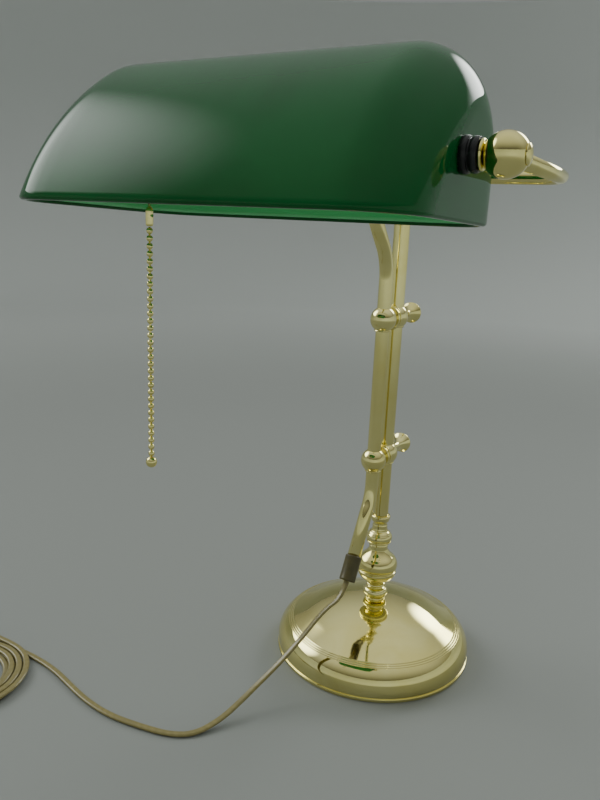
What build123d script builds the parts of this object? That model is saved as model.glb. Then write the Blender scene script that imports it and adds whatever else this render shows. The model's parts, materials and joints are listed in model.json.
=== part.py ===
from build123d import *
import math
import os

# Banker desk lamp: a spun brass foot with a turned column, a round post, an arm that slides on
# the post in two clamps, and a yoke that carries a green glass shade over a pull-chain lamp holder.
# Origin on the table under the middle of the foot, +Z up, -Y towards the user, +X along the shade.
# All lengths are in millimetres, all angles in degrees.

# Clearances
seat_gap = 0.3        # between flat faces of pieces that turn on each other
run_gap = 0.05        # radial, between a shaft and the bore that it turns or slides in

# Foot
base_d = 165.0        # over the lip on the table
shell_t = 1.7         # spun brass wall
lip_h = 2.4           # upright lip at the table edge
lip_clear = 0.4       # lip above the table
flange_w = 8.4        # from the lip in to the fine rings
flange_h = 24.6       # top of the flange
flange_swell = 3.6    # sagitta of the flange between the lip and the rings
ring_step_w = 1.6    # each of the fine rings
ring_step_h = 0.8
ring_count = 3
dome_rise = 19.0      # dome above the last ring
dome_swell = 4.4      # sagitta of the dome between the rings and its flat middle
dome_seat_d = 19.0    # flat under the column
felt_t = 2.0
felt_inset = 5.0      # felt inside the lip's outer face
weight_inset = 15.5
weight_h = 16.0
pocket_d = 32.0       # nut pocket under the weight
pocket_h = 9.5

# Tie rod with its nut and washer
rod_d = 8.0
rod_above_socket = 33.0   # smooth top that the post turns on
nut_af = 13.0
nut_h = 6.5
washer_d = 24.0
washer_t = 1.6
keeper_d = 9.4
keeper_h = 5.0

# Column, from the foot up: each turned piece has its largest diameter and its height
foot_d = 16.4
foot_h = 1.6
bead_d = 21.3
bead_h = 13.7
vase_d = 33.6
vase_h = 34.5
ring_d = 21.3
ring_h = 14.0
socket_d = 16.6
socket_h = 13.0
neck_d = 12.8         # waist between two column pieces
socket_depth = 5.0    # the post stands this deep in the socket

# Post
post_d = 12.4
post_wall = 1.2
post_l = 300.0
cap_d = 16.0
cap_h = 12.0
cap_plug_l = 8.0

# Arm tube and clamps
arm_d = 10.6
arm_wall = 1.3
arm_off = 24.5        # arm axis in front of the post axis
arm_below = 29.8      # lower bend under the lower clamp
arm_above = 43.5      # upper bend over the upper clamp
arm_foot_lean = 31.5  # lower end leans forward
arm_foot_l = 62.5
arm_bend_r = 36.0
clamp_z = {"lower": 177.8, "upper": 290.5}
clamp_ball_d = 20.0
clamp_ball_flat = 8.6     # flat face from the ball centre
clamp_disc_d = 19.4       # double washer between the two balls of a clamp
boss_d = 9.6
screw_d = 6.0
knob_d = 17.0
knob_t = 4.2
knob_neck_l = 22.0
knob_dish = 1.3

# Rubber sleeve where the cord leaves the arm
sleeve_d = 12.8
sleeve_l = 20.0
sleeve_lap = 12.0     # over the tube

# Yoke and pivots
pivot_y = -216.0
pivot_z = 391.0
hub_y = -77.0
hub_z = 391.0
hub_d = 20.0
hub_socket = 6.0      # arm tube stops this far from the hub centre
yoke_d = 8.0
yoke_wall = 1.0
yoke_bend_r = 15.0
yoke_socket = 4.5     # yoke tubes stop this far from the hub centre
ball_d = 20.0
ball_flat = 9.0       # flats on both sides of the ball, from its centre
ball_socket = 7.0     # yoke arm stops this far from the ball centre
pivot_d = 7.0
wire_bore_d = 4.0
bush_ring_d = 16.4
bush_ring_t = 3.4
bush_groove_d = 13.6
bush_groove_t = 0.9
bush_outer_d = 15.6
bush_sleeve_d = 11.0
collar_d = 13.6
collar_t = 1.7
end_cap_d = 11.4
end_cap_t = 2.6
washer_in_d = 17.0
washer_in_t = 3.0
washer_stand = 0.25
nut_in_d = 16.0
nut_in_t = 5.0

# Glass shade, in its own frame: y from the pivot (front negative), z from the pivot
shade_l = 221.0
shade_wall = 4.0
shade_front = 64.0   # pivot to the front rim
shade_rear = 78.0     # pivot to the rear rim
shade_drop = 30.5     # pivot to the foot of the front arc, before the rim is cut
shade_rim_front = 30.0  # pivot to the cut rim at the front
shade_rim_rear = 25.2   # and at the rear
front_r = 154.5
front_rim_angle = 69.5
front_top_angle = 34.0
shade_end_r = 31.0    # rounding of the closed ends
shade_rest_tilt = 3.8

# Lamp holder on the left pivot, with its pull switch
holder_d = 39.0
holder_wall = 2.0
holder_l = 52.0
holder_cap_l = 12.0
holder_neck_d = 18.0
holder_nipple_in = 8.0
nipple_free_l = 27.0  # bare nipple between the inner nut and the holder cap
switch_l = 22.0
contact_l = 7.0
contact_d = 9.0
contact_h = 2.5
thread_d = 27.2       # clear bore of the screw shell
thread_wall = 0.6
thread_l = 22.0

# Pull guide and bead chain
pull_in = 5.8         # chain, from the inner end of the switch block
guide_d = 6.0
guide_reach = 24.0    # chain in front of the pivot axis
guide_ball_d = 9.0
guide_mouth_d = 8.0
guide_mouth_l = 10.0
link_bore_d = 2.4
link_d = 1.4
link_l = 25.3
bell_d = 4.6
bell_l = 10.0
bell_gap = 16.3        # bell below the guide mouth
bead_count = 32
bead_ball_d = 3.0
bead_pitch = 3.87
bead_wire_d = 1.0
end_ball_d = 6.2

# Supply cord
cord_d = 4.8
cord_floor = 0.15     # cord skin above the table
cord_in = 6.0         # inside the sleeve
coil_x = -253.0
coil_y = -224.5
coil_r = 50.0         # outer turn, at the middle of the cord
coil_pitch = 5.7      # turn to turn, and layer to layer
coil_turns = 2.75     # turns of each of the two layers
plug_x = -354.0
plug_l = 34.0
plug_w = 30.0
plug_t = 13.0
pin_d = 4.0
pin_l = 19.0
pin_span = 18.6

# Derived places along the column
felt_d = base_d - 2 * felt_inset
weight_d = base_d - 2 * weight_inset
flange_r = base_d / 2 - flange_w
dome_r = flange_r - ring_count * ring_step_w
dome_edge_z = flange_h + ring_count * ring_step_h
dome_z = dome_edge_z + dome_rise
foot_z = dome_z
bead_z = foot_z + foot_h
vase_z = bead_z + bead_h
ring_z = vase_z + vase_h
socket_z = ring_z + ring_h
socket_top = socket_z + socket_h
post_z = socket_top - socket_depth + seat_gap
post_top = post_z + post_l
post_bore = post_d - 2 * post_wall
rod_bore = rod_d + 2 * run_gap
rod_top = socket_top + rod_above_socket
cord_z = cord_d / 2 + cord_floor
chain_y = pivot_y - guide_reach


os.makedirs("parts", exist_ok=True)


def save(part, name):
    part.label = name
    export_step(part, f"parts/{name}.step")


def turned(plane, *corners):
    """Spin a half outline about the plane's Y axis.

    A corner is (radius, height); a third number is the sagitta of the arc that leads to it,
    positive where the arc swells away from the axis on the way up.
    """
    with BuildPart() as piece:
        with BuildSketch(plane):
            with BuildLine():
                for start, end in zip(corners, corners[1:] + corners[:1]):
                    if len(end) == 3:
                        SagittaArc(start[:2], end[:2], -end[2])
                    else:
                        Line(start[:2], end[:2])
            make_face()
        revolve(axis=Axis(plane.origin, plane.y_dir))
    return piece.part


def crown(radius, rise):
    """Sagitta of the arc that closes a round end on its axis, square to the axis."""
    arc_r = (radius ** 2 + rise ** 2) / (2 * rise)
    half_chord = math.hypot(radius, rise) / 2
    return arc_r - math.sqrt(arc_r ** 2 - half_chord ** 2)


def upright(x=0.0, y=0.0, z=0.0):
    """Plane for pieces turned about a vertical axis: heights run up from z."""
    return Plane(origin=(x, y, z), x_dir=(1, 0, 0), z_dir=(0, -1, 0))


def pivot_plane(side):
    """Plane for pieces turned about the pivot axis: heights run out from the middle of the lamp."""
    return Plane(origin=(0, pivot_y, pivot_z), x_dir=(0, 0, 1), z_dir=(0, side, 0))


def tube(points, radii, outer_d, bore_d=0.0):
    """A round tube along straight runs joined by tangent arcs."""
    with BuildPart() as piece:
        with BuildLine() as path:
            FilletPolyline(*points, radius=radii)
        with BuildSketch(Plane(origin=path.line @ 0, z_dir=path.line % 0)):
            Circle(outer_d / 2)
            if bore_d:
                Circle(bore_d / 2, mode=Mode.SUBTRACT)
        sweep(path=path.wire())
    return piece.part


def drilled(part, *bores):
    """Cut round bores (start, direction, diameter, depth) out of a part."""
    with BuildPart() as piece:
        add(part)
        for start, direction, diameter, depth in bores:
            with BuildSketch(Plane(origin=start, z_dir=direction)):
                Circle(diameter / 2)
            extrude(amount=depth, mode=Mode.SUBTRACT)
    return piece.part


def ball(centre, diameter):
    with BuildPart() as piece:
        with Locations(centre):
            Sphere(diameter / 2)
    return piece.part


def flatted(part, *faces):
    """Cut a part flat beyond each (point, outward direction)."""
    with BuildPart() as piece:
        add(part)
        for point, outward in faces:
            with BuildSketch(Plane(origin=point, z_dir=outward)):
                Circle(60)
            extrude(amount=60, mode=Mode.SUBTRACT)
    return piece.part


# Foot: shell, weight, felt, tie rod
def foot_corners(inset):
    """Outline of the spun foot from the lip to the middle, moved in by inset."""
    lip_r = base_d / 2 - inset
    corners = [(lip_r, lip_clear), (lip_r, lip_clear + lip_h - inset * 0.5)]
    corners.append((lip_r - 0.8, lip_clear + lip_h - inset * 0.5))
    corners.append((flange_r - inset, flange_h - inset, flange_swell))
    for step in range(ring_count):
        edge_r = flange_r - step * ring_step_w - inset
        edge_z = flange_h + step * ring_step_h - inset
        corners.append((edge_r - 0.35 * ring_step_w, edge_z))
        corners.append((edge_r - ring_step_w, edge_z + ring_step_h, 0.12))
    corners.append((dome_seat_d / 2, dome_z - inset, dome_swell))
    return corners


outer = foot_corners(0.0)
inner = foot_corners(shell_t)
axis_plane = upright()
body = turned(axis_plane, (0, lip_clear), *outer, (0, dome_z))
hollow = turned(
    axis_plane,
    (0, lip_clear - 1), (inner[0][0], lip_clear - 1), *inner, (0, dome_z - shell_t),
)
with BuildPart() as base_shell:
    add(body)
    add(hollow, mode=Mode.SUBTRACT)
    with BuildSketch(Plane.XY):
        Circle(rod_d / 2 + 0.1)
    extrude(amount=dome_z + 1, mode=Mode.SUBTRACT)
save(base_shell.part, "base_shell")

weight_top = felt_t + weight_h
with BuildPart() as base_weight:
    with BuildSketch(Plane.XY.offset(felt_t)):
        Circle(weight_d / 2)
    extrude(amount=weight_h)
    chamfer(base_weight.faces().sort_by(Axis.Z)[-1].edges(), 2.0)
    with BuildSketch(Plane.XY.offset(weight_top)):
        Circle(dome_seat_d / 2)
    extrude(amount=dome_z - shell_t - weight_top)
    with BuildSketch(Plane.XY.offset(felt_t)):
        Circle(pocket_d / 2)
    extrude(amount=pocket_h, mode=Mode.SUBTRACT)
    with BuildSketch(Plane.XY):
        Circle(rod_d / 2 + 0.1)
    extrude(amount=dome_z, mode=Mode.SUBTRACT)
save(base_weight.part, "base_weight")

with BuildPart() as base_felt:
    with BuildSketch():
        Circle(felt_d / 2)
    extrude(amount=felt_t)
    chamfer(base_felt.faces().sort_by(Axis.Z)[0].edges(), 0.3)
save(base_felt.part, "base_felt")

pocket_top = felt_t + pocket_h
with BuildPart() as base_washer:
    with BuildSketch(Plane.XY.offset(pocket_top - washer_t)):
        Circle(washer_d / 2)
        Circle(rod_d / 2 + 0.2, mode=Mode.SUBTRACT)
    extrude(amount=washer_t)
save(base_washer.part, "base_washer")

nut_z = pocket_top - washer_t - nut_h
with BuildPart() as base_nut:
    with BuildSketch(Plane.XY.offset(nut_z)):
        RegularPolygon(nut_af / 2, 6, major_radius=False)
        Circle(rod_d / 2, mode=Mode.SUBTRACT)
    extrude(amount=nut_h)
save(base_nut.part, "base_nut")

rod_z = nut_z - 0.8
with BuildPart() as tie_rod:
    with BuildSketch(Plane.XY.offset(rod_z)):
        Circle(rod_d / 2)
    extrude(amount=rod_top - rod_z)
    chamfer(tie_rod.faces().sort_by(Axis.Z)[-1].edges(), 0.6)
save(tie_rod.part, "tie_rod")

with BuildPart() as rod_keeper:
    with BuildSketch(Plane.XY.offset(rod_top - keeper_h)):
        Circle(keeper_d / 2)
        Circle(rod_d / 2, mode=Mode.SUBTRACT)
    extrude(amount=keeper_h - 0.8)
save(rod_keeper.part, "rod_keeper")

# Column: five turned pieces threaded on the rod
bore_r = rod_d / 2 + 0.1
neck_r = neck_d / 2
save(turned(
    upright(z=foot_z),
    (bore_r, 0), (foot_d / 2, 0), (foot_d / 2, foot_h, 0.3), (bore_r, foot_h),
), "column_foot")
save(turned(
    upright(z=bead_z),
    (bore_r, 0), (neck_r, 0), (neck_r, 0.05 * bead_h),
    (bead_d / 2 - 1.9, 0.13 * bead_h, -0.4), (bead_d / 2 - 1.9, 0.6 * bead_h, 1.9),
    (neck_r - 0.2, 0.68 * bead_h, -0.3), (neck_r + 1.3, 0.76 * bead_h),
    (neck_r + 1.3, 0.94 * bead_h, 0.7), (neck_r, bead_h), (bore_r, bead_h),
), "column_bead")
vase_r = vase_d / 2
save(turned(
    upright(z=vase_z),
    (bore_r, 0), (neck_r, 0), (neck_r + 1.2, 0.05 * vase_h), (vase_r - 0.5, 0.27 * vase_h, 1.5),
    (vase_r - 0.5, 0.33 * vase_h), (vase_r - 1.3, 0.345 * vase_h), (vase_r - 1.3, 0.37 * vase_h),
    (vase_r - 0.3, 0.385 * vase_h), (vase_r - 3.6, 0.72 * vase_h, 2.0), (neck_r + 1.6, 0.9 * vase_h, -0.5),
    (neck_r + 1.6, vase_h), (bore_r, vase_h),
), "column_vase")
ring_r = ring_d / 2
save(turned(
    upright(z=ring_z),
    (bore_r, 0), (neck_r + 1.6, 0), (neck_r + 1.2, 0.14 * ring_h, -0.2),
    (ring_r - 0.4, 0.2 * ring_h), (ring_r - 0.4, 0.29 * ring_h, 0.3), (ring_r - 1.3, 0.31 * ring_h),
    (ring_r - 1.3, 0.36 * ring_h), (ring_r, 0.38 * ring_h), (ring_r - 1.0, 0.74 * ring_h, 0.8),
    (neck_r + 0.9, 0.9 * ring_h, 0.3), (neck_r + 0.3, ring_h, -0.2), (bore_r, ring_h),
), "column_ring")
socket_r = socket_d / 2
post_seat_r = post_d / 2 + run_gap
save(turned(
    upright(z=socket_z),
    (bore_r, 0), (neck_r + 0.3, 0), (neck_r - 0.1, 0.3 * socket_h, -0.2),
    (socket_r - 0.9, 0.62 * socket_h, -0.9), (socket_r, 0.84 * socket_h), (socket_r - 0.7, socket_h, 0.3),
    (post_seat_r, socket_h), (post_seat_r, socket_h - socket_depth), (bore_r, socket_h - socket_depth),
), "column_socket")

# Post: tube, the bush that turns on the tie rod, and the closing cap
with BuildPart() as post_tube:
    with BuildSketch(Plane.XY.offset(post_z)):
        Circle(post_d / 2)
        Circle(post_bore / 2, mode=Mode.SUBTRACT)
    extrude(amount=post_l)
save(post_tube.part, "post_tube")

with BuildPart() as post_bush:
    with BuildSketch(Plane.XY.offset(post_z)):
        Circle(post_bore / 2)
        Circle(rod_bore / 2, mode=Mode.SUBTRACT)
    extrude(amount=rod_top - keeper_h - seat_gap - post_z)
save(post_bush.part, "post_bush")

cap_neck_r = cap_d / 2 - 1.6
save(turned(
    upright(z=post_top),
    (0, -cap_plug_l), (post_bore / 2, -cap_plug_l), (post_bore / 2, 0), (cap_d / 2 - 0.8, 0),
    (cap_d / 2, 0.15 * cap_h, 0.2), (cap_neck_r, 0.34 * cap_h, 0.4), (cap_neck_r, 0.42 * cap_h),
    (0, cap_h, crown(cap_neck_r, 0.58 * cap_h)),
), "post_cap")

# Arm: tube, clamps, cord sleeve
lean = math.radians(arm_foot_lean)
arm_y = -arm_off
foot_dir = Vector(0, -math.sin(lean), -math.cos(lean))
arm_low = Vector(0, arm_y, clamp_z["lower"] - arm_below)
arm_high = Vector(0, arm_y, clamp_z["upper"] + arm_above)
arm_end = arm_low + foot_dir * arm_foot_l
hub = Vector(0, hub_y, hub_z)
hub_dir = (hub - arm_high).normalized()
arm_tip = hub - hub_dir * hub_socket
arm_bore = arm_d - 2 * arm_wall
save(tube([arm_end, arm_low, arm_high, arm_tip], [arm_bend_r, arm_bend_r], arm_d, arm_bore), "arm_tube")

sleeve_start = arm_end - foot_dir * sleeve_lap
sleeve_end = sleeve_start + foot_dir * sleeve_l
with BuildPart() as cord_sleeve:
    with BuildSketch(Plane(origin=sleeve_start, z_dir=foot_dir)):
        Circle(sleeve_d / 2)
    extrude(amount=sleeve_l)
    fillet(cord_sleeve.edges(), 0.8)
save(drilled(
    cord_sleeve.part,
    (sleeve_start, foot_dir, arm_d, sleeve_lap),
    (sleeve_start, foot_dir, cord_d + 2 * run_gap, sleeve_l),
), "cord_sleeve")

ball_back = arm_y + clamp_ball_flat
post_ball_front = -clamp_ball_flat
flat_r = math.sqrt((clamp_ball_d / 2) ** 2 - clamp_ball_flat ** 2)
screw_y = post_d / 2 + seat_gap
head_y = clamp_ball_d / 2 + seat_gap
disc_y = head_y + knob_neck_l
for level, z in clamp_z.items():
    bead = flatted(ball((0, arm_y, z), clamp_ball_d), ((0, ball_back, z), (0, 1, 0)))
    save(drilled(
        bead,
        ((0, arm_y, z - clamp_ball_d), (0, 0, 1), arm_d, 2 * clamp_ball_d),
    ), f"clamp_ball_{level}")

    level_plane = Plane(origin=(0, 0, z), x_dir=(1, 0, 0), z_dir=(0, 0, 1))
    disc_r = clamp_disc_d / 2
    neck_in_r = disc_r - 1.6
    save(turned(
        level_plane,
        (0, ball_back), (flat_r, ball_back), (disc_r - 0.7, ball_back + 0.7), (disc_r, ball_back + 1.5, 0.2),
        (disc_r - 0.6, ball_back + 2.3, 0.2), (neck_in_r, ball_back + 2.5), (neck_in_r, post_ball_front - 2.5),
        (disc_r - 0.6, post_ball_front - 2.3), (disc_r, post_ball_front - 1.5, 0.2),
        (disc_r - 0.7, post_ball_front - 0.7, 0.2), (flat_r, post_ball_front), (0, post_ball_front),
    ), f"clamp_discs_{level}")

    post_ball = flatted(ball((0, 0, z), clamp_ball_d), ((0, post_ball_front, z), (0, -1, 0)))
    save(drilled(
        post_ball,
        ((0, 0, z - clamp_ball_d), (0, 0, 1), post_d + 2 * run_gap, 2 * clamp_ball_d),
        ((0, 0, z), (0, 1, 0), screw_d + 2 * run_gap, clamp_ball_d),
    ), f"post_ball_{level}")

    save(turned(
        level_plane,
        (0, screw_y), (screw_d / 2, screw_y), (screw_d / 2, head_y), (boss_d / 2, head_y),
        (boss_d / 2 - 1.6, head_y + 0.2 * knob_neck_l, -0.3),
        (boss_d / 2 - 1.8, head_y + 0.55 * knob_neck_l), (knob_d / 2 - 0.3, disc_y + 0.3 * knob_t, -1.3),
        (knob_d / 2, disc_y + 0.5 * knob_t), (knob_d / 2 - 0.7, disc_y + knob_t, 0.2),
        (0, disc_y + knob_t - knob_dish, -crown(knob_d / 2 - 0.7, knob_dish)),
    ), f"thumb_screw_{level}")

# Yoke: hub, two bent tubes, two balls
ball_out = shade_l / 2 + 2 * bush_ring_t + bush_groove_t + seat_gap + collar_t + ball_flat
bore_floor = yoke_socket - seat_gap
save(drilled(
    ball(hub, hub_d),
    (hub - hub_dir * hub_socket, hub_dir * -1, arm_d, hub_d),
    (hub + Vector(bore_floor, 0, 0), (1, 0, 0), yoke_d + 4 * run_gap, hub_d),
    (hub - Vector(bore_floor, 0, 0), (-1, 0, 0), yoke_d + 4 * run_gap, hub_d),
    (hub - hub_dir * hub_socket, hub_dir, wire_bore_d, hub_socket),
    (hub - Vector(yoke_socket, 0, 0), (1, 0, 0), wire_bore_d, yoke_socket),
), "yoke_hub")

stack_in = shade_l / 2
stack_groove = stack_in + bush_ring_t
stack_ring = stack_groove + bush_groove_t
stack_out = stack_ring + bush_ring_t
collar_in = stack_out + seat_gap
collar_out = collar_in + collar_t
glass_in = shade_l / 2 - shade_wall
washer_start = glass_in - washer_stand
washer_end = glass_in - washer_in_t
nut_out = washer_end - seat_gap
nut_end = nut_out - nut_in_t
cap_in = ball_out + ball_flat
pin_r = pivot_d / 2
pin_run_r = pin_r + run_gap

for side, hand in ((1, "right"), (-1, "left")):
    out = Vector(side, 0, 0)
    centre = Vector(side * ball_out, pivot_y, pivot_z)
    corner = Vector(side * ball_out, hub_y, hub_z)
    arm_dir = (corner - centre).normalized()
    save(tube(
        [hub + out * yoke_socket, corner, centre + arm_dir * ball_socket],
        [yoke_bend_r], yoke_d, yoke_d - 2 * yoke_wall,
    ), f"yoke_tube_{hand}")
    plane = pivot_plane(side)
    flat_r = math.sqrt((ball_d / 2) ** 2 - ball_flat ** 2)
    pierced = turned(
        plane,
        (pin_r, ball_out - ball_flat), (flat_r, ball_out - ball_flat),
        (flat_r, ball_out + ball_flat, ball_d / 2 - flat_r), (pin_r, ball_out + ball_flat),
    )
    save(drilled(pierced, (centre + arm_dir * ball_socket, arm_dir, yoke_d, ball_d)), f"pivot_ball_{hand}")
    save(turned(
        plane,
        (pin_r, collar_in), (collar_d / 2 - 0.8, collar_in), (collar_d / 2 - 0.8, collar_out, 0.8),
        (pin_r, collar_out),
    ), f"pivot_collar_{hand}")
    save(turned(
        plane,
        (pin_r, cap_in), (end_cap_d / 2, cap_in), (end_cap_d / 2, cap_in + 0.55 * end_cap_t),
        (0, cap_in + end_cap_t, crown(end_cap_d / 2, 0.45 * end_cap_t)), (0, cap_in + 0.45 * end_cap_t),
        (pin_r, cap_in + 0.45 * end_cap_t),
    ), f"pivot_cap_{hand}")
    save(turned(
        plane,
        (pin_run_r, glass_in), (bush_sleeve_d / 2, glass_in), (bush_sleeve_d / 2, stack_in),
        (bush_ring_d / 2 - 0.5, stack_in), (bush_ring_d / 2 - 0.5, stack_groove, 0.5),
        (bush_groove_d / 2, stack_groove), (bush_groove_d / 2, stack_ring),
        (bush_outer_d / 2 - 0.5, stack_ring), (bush_outer_d / 2 - 0.5, stack_out, 0.5),
        (pin_run_r, stack_out),
    ), f"pivot_bush_{hand}")
    save(turned(
        plane,
        (pin_run_r, washer_end), (washer_in_d / 2, washer_end), (washer_in_d / 2, washer_start),
        (pin_run_r, washer_start),
    ), f"inner_washer_{hand}")
    save(turned(
        plane,
        (pin_r, nut_end), (nut_in_d / 2, nut_end), (nut_in_d / 2, nut_out), (pin_r, nut_out),
    ), f"inner_nut_{hand}")

pin_out = cap_in + 0.45 * end_cap_t
holder_start = nut_end - nipple_free_l
nipple_end = holder_start - holder_nipple_in
save(turned(
    pivot_plane(1),
    (0, nut_end - 1), (pin_r, nut_end - 1), (pin_r, pin_out), (0, pin_out),
), "pivot_stud")
nipple = turned(
    pivot_plane(-1),
    (wire_bore_d / 2, nipple_end), (pin_r, nipple_end), (pin_r, pin_out),
    (wire_bore_d / 2, pin_out),
)
left_ball = Vector(-ball_out, pivot_y, pivot_z)
save(drilled(nipple, (left_ball, arm_dir, wire_bore_d, ball_d)), "pivot_nipple")


# Shade: closed ends, open below, drilled for the two pivot bushes
def shade_block(inset):
    """The solid dome of the shade, moved in by inset on every side but the rim."""
    rim_angle = front_rim_angle + math.degrees(inset / front_r)
    front = math.radians(rim_angle)
    rim = math.radians(front_rim_angle)
    top = math.radians(front_top_angle)
    arc_y = -shade_front + front_r * math.sin(rim)
    arc_z = -shade_drop - front_r * math.cos(rim)
    radius = front_r - inset
    start = (arc_y - radius * math.sin(front), arc_z + radius * math.cos(front))
    crest = (arc_y - radius * math.sin(top), arc_z + radius * math.cos(top))
    wall_y = shade_rear - 1.0
    crest_outer = arc_y - front_r * math.sin(top)
    rear_r = (wall_y - crest_outer) / (1 + math.sin(top)) - inset
    side_plane = Plane(origin=(0, pivot_y, pivot_z), x_dir=(0, 1, 0), z_dir=(1, 0, 0))
    with BuildPart() as block:
        with BuildSketch(side_plane):
            with BuildLine():
                JernArc(start, (math.cos(front), math.sin(front)), radius, -(rim_angle - front_top_angle))
                over = JernArc(crest, (math.cos(top), math.sin(top)), rear_r, -(90 + front_top_angle))
                low = (shade_rear - inset, start[1])
                Line(over @ 1, low)
                Line(low, start)
            make_face()
        extrude(amount=shade_l / 2 - inset, both=True)
        ends = block.faces().filter_by(Axis.X)
        rounded = ends.edges().filter_by(lambda edge: edge.center().Z > pivot_z - shade_drop + 1)
        fillet(rounded, shade_end_r - inset)
    return block.part


with BuildPart() as shade_blank:
    add(shade_block(0.0))
    add(shade_block(shade_wall), mode=Mode.SUBTRACT)
    with BuildSketch(Plane(origin=(-shade_l, pivot_y, pivot_z), z_dir=(1, 0, 0))):
        Circle(bush_sleeve_d / 2)
    extrude(amount=2 * shade_l, mode=Mode.SUBTRACT)
    with BuildSketch(Plane(origin=(0, pivot_y, pivot_z), x_dir=(0, 1, 0), z_dir=(1, 0, 0))):
        with BuildLine():
            Polyline(
                (-shade_front, -shade_rim_front), (shade_rear, -shade_rim_rear),
                (2 * shade_rear, -shade_rim_rear), (2 * shade_rear, -2 * shade_drop),
                (-2 * shade_front, -2 * shade_drop), (-2 * shade_front, -shade_rim_front), close=True,
            )
        make_face()
    extrude(amount=shade_l, both=True, mode=Mode.SUBTRACT)
shade = shade_blank.part.rotate(Axis((0, pivot_y, pivot_z), (1, 0, 0)), -shade_rest_tilt)
save(shade, "shade")

# Lamp holder: cap, shell, switch block, contact block, screw shell, heights along the pivot axis
holder_plane = pivot_plane(-1)
holder_r = holder_d / 2
cap_end = holder_start - holder_cap_l
shell_end = cap_end - holder_l
inner_r = holder_r - holder_wall
save(turned(
    holder_plane,
    (pin_r, holder_start), (holder_neck_d / 2, holder_start), (holder_r, cap_end + 2.0, 2.0),
    (holder_r, cap_end), (inner_r - 2.0, cap_end), (pin_r + 1.5, nipple_end - 1.0), (pin_r, nipple_end),
), "holder_cap")
holder_shell = turned(
    holder_plane,
    (inner_r, shell_end), (holder_r - 0.8, shell_end), (holder_r, shell_end + 1.5, 0.3),
    (holder_r, cap_end), (inner_r, cap_end),
)
switch_end = cap_end - switch_l
pull_x = -(switch_end + pull_in)
guide_start = Vector(pull_x, pivot_y - inner_r - 0.5, pivot_z)
save(drilled(holder_shell, (guide_start + Vector(0, 5, 0), (0, -1, 0), guide_d, 20)), "holder_shell")
save(turned(
    holder_plane,
    (0, switch_end), (inner_r, switch_end), (inner_r, cap_end), (inner_r - 4, cap_end),
    (inner_r - 4, cap_end - 2), (0, cap_end - 2),
), "holder_switch")
contact_end = switch_end - contact_l
thread_r = thread_d / 2
thread_out = contact_end
save(turned(
    holder_plane,
    (0, contact_end - contact_h), (contact_d / 2, contact_end - contact_h), (contact_d / 2, contact_end),
    (inner_r, contact_end), (inner_r, switch_end), (0, switch_end),
), "holder_contact")
save(turned(
    holder_plane,
    (thread_r, thread_out - thread_l), (thread_r + thread_wall, thread_out - thread_l),
    (thread_r + thread_wall, thread_out), (thread_r, thread_out),
), "holder_thread")

# Pull guide, pull link, bead chain
guide_at = Vector(pull_x, chain_y, pivot_z)
mouth_z = pivot_z - guide_mouth_l
with BuildPart() as guide:
    with BuildSketch(Plane(origin=guide_start, z_dir=(0, -1, 0))):
        Circle(guide_d / 2)
    extrude(amount=guide_start.Y - chain_y)
    add(ball(guide_at, guide_ball_d))
    add(turned(
        upright(pull_x, chain_y, mouth_z),
        (0, 0), (guide_mouth_d / 2, 0), (guide_d / 2, 0.5 * guide_mouth_l, -0.6),
        (guide_d / 2, guide_mouth_l), (0, guide_mouth_l),
    ))
save(drilled(
    guide.part,
    (Vector(pull_x, chain_y, mouth_z - 1), (0, 0, 1), link_bore_d, guide_mouth_l + 2),
), "pull_guide")

bell_top = mouth_z - bell_gap
bell_z = bell_top - bell_l
save(turned(
    upright(pull_x, chain_y),
    (0, bell_z), (bell_d / 2, bell_z), (bell_d / 2, bell_z + 0.55 * bell_l),
    (link_d / 2, bell_top, 0.8), (link_d / 2, bell_top + link_l - 1), (0, bell_top + link_l - 1),
), "pull_link")

chain_top = bell_z - seat_gap
wire_r = bead_wire_d / 2
bead_r = bead_ball_d / 2
bite = math.sqrt(bead_r ** 2 - wire_r ** 2)
with BuildPart() as pull_chain:
    chain_plane = upright(pull_x, chain_y, chain_top)
    chain_low = -bead_pitch * bead_count
    with BuildSketch(chain_plane):
        with BuildLine():
            Line((0, chain_low), (0, 0))
            Line((0, 0), (wire_r, 0))
            edge_z = 0.0
            for bead in range(bead_count):
                mid = -bead_pitch * (bead + 0.5)
                Line((wire_r, edge_z), (wire_r, mid + bite))
                ThreePointArc((wire_r, mid + bite), (bead_r, mid), (wire_r, mid - bite))
                edge_z = mid - bite
            Line((wire_r, edge_z), (wire_r, chain_low))
            Line((wire_r, chain_low), (0, chain_low))
        make_face()
    revolve(axis=Axis(chain_plane.origin, chain_plane.y_dir))
save(pull_chain.part, "pull_chain")

end_z = chain_top + chain_low - end_ball_d / 2
save(flatted(
    ball((pull_x, chain_y, end_z), end_ball_d),
    ((pull_x, chain_y, chain_top + chain_low), (0, 0, 1)),
), "chain_ball")


# Supply cord: free run from the sleeve to the coil, coil, tail, plug
def cord_radii(points):
    """Largest arcs that the runs allow: 0.45 of the shorter run over the tangent of half the turn."""
    radii = []
    for before, here, after in zip(points, points[1:], points[2:]):
        half_turn = math.radians((here - before).get_angle(after - here)) / 2
        shorter = min((here - before).length, (after - here).length)
        radii.append(0.45 * shorter / math.tan(half_turn))
    return radii


def cord_tube(points, name):
    radii = cord_radii(points)
    part = tube(points, radii, cord_d)
    length = part.volume / (math.pi * cord_d ** 2 / 4)
    print(name, "radii", [round(r, 1) for r in radii], "length", round(length, 1))
    save(part, name)


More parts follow.
